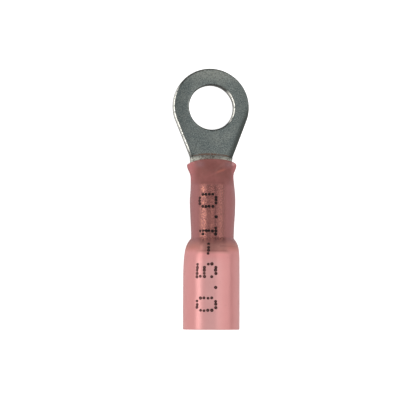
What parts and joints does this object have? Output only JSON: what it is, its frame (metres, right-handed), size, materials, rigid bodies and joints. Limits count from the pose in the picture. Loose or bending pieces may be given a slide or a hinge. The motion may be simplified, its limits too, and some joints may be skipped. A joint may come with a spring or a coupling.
{
  "type": "ring terminal",
  "caption": "Insulated ring terminal: a flat ring tongue for a stud, a rolled barrel for a stripped wire, and a translucent heat-shrink sleeve over the barrel.",
  "frame": {"origin": "under the middle of the whole terminal, at the height of the sleeve's lowest line", "axes": "+Z along the stud axis, out of the side with the barrel's seam; +Y along the barrel's axis from the wire end to the ring"},
  "size_m": [0.0082, 0.0282, 0.006],
  "materials": {
    "tin_plate": "matt tin plating on copper strip",
    "sleeve_plastic": "translucent pink-red heat-shrink plastic"
  },
  "bodies": {
    "root": {"terminal_body": "tin_plate", "insulating_sleeve": "sleeve_plastic"}
  },
  "joints": []
}
